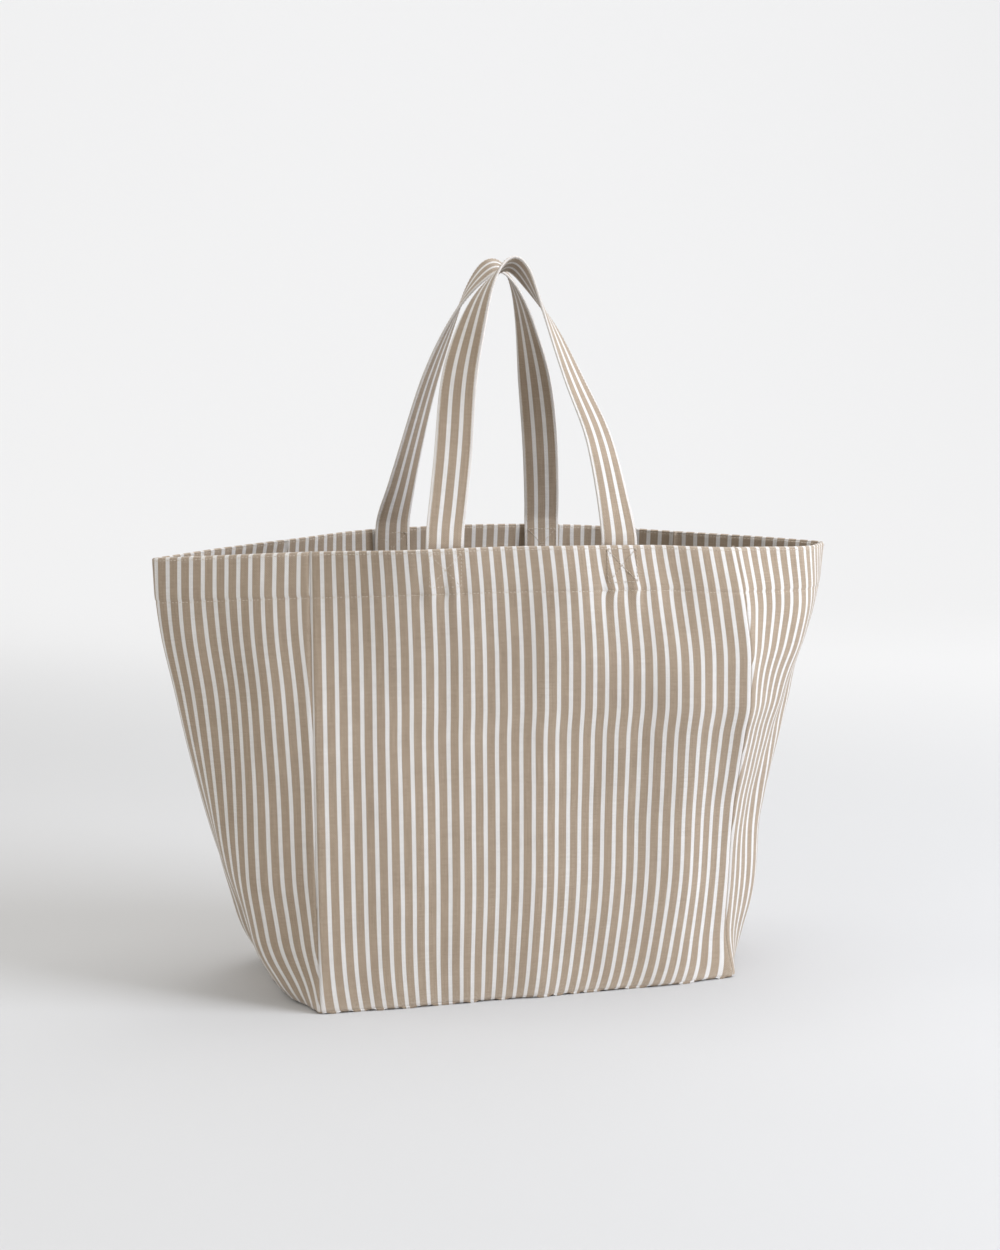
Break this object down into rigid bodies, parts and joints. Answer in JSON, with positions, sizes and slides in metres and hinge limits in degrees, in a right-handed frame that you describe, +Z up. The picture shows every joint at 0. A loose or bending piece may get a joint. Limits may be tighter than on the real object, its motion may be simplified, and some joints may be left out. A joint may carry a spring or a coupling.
{
  "type": "canvas tote bag",
  "caption": "Large open canvas tote bag with fine stripes, a turned hem, wide folding gussets, a flat rectangular base and self-fabric shoulder straps that swing.",
  "frame": {"origin": "centre of the base, on the surface that the bag stands on", "axes": "+X along the front panel, +Y from front to back, +Z up"},
  "size_m": [0.5874, 0.206, 0.6053],
  "materials": {
    "striped_canvas": "heavy cotton canvas, taupe with narrow off-white stripes",
    "strap_canvas": "the same canvas folded into a firm strap, stripes along it",
    "overcast_canvas": "raw canvas edges overcast together with thread",
    "sewing_thread": "matte cotton thread in short lockstitches"
  },
  "bodies": {
    "root": {"front_panel": "striped_canvas", "back_panel": "striped_canvas", "base_panel": "striped_canvas", "left_gusset": "striped_canvas", "right_gusset": "striped_canvas", "rim_hem": "striped_canvas", "rim_edge_stitching": "sewing_thread", "hem_stitching": "sewing_thread", "left_seam_allowance": "overcast_canvas", "right_seam_allowance": "overcast_canvas", "left_seam_stitching": "sewing_thread", "right_seam_stitching": "sewing_thread", "front_left_strap_end": "strap_canvas", "front_right_strap_end": "strap_canvas", "back_left_strap_end": "strap_canvas", "back_right_strap_end": "strap_canvas", "front_left_box_stitching": "sewing_thread", "front_right_box_stitching": "sewing_thread", "back_left_box_stitching": "sewing_thread", "back_right_box_stitching": "sewing_thread"},
    "front_handle": {"front_handle_strap": "strap_canvas", "front_handle_stitching": "sewing_thread"},
    "back_handle": {"back_handle_strap": "strap_canvas", "back_handle_stitching": "sewing_thread"}
  },
  "joints": [
    {"name": "front_handle_swing", "type": "hinge", "parent": "root", "child": "front_handle", "pos_m": [0, -0.08835, 0.375], "axis": [1, 0, 0], "range_deg": [0, 188]},
    {"name": "back_handle_swing", "type": "hinge", "parent": "root", "child": "back_handle", "pos_m": [0, 0.08835, 0.375], "axis": [-1, 0, 0], "range_deg": [0, 188]}
  ]
}
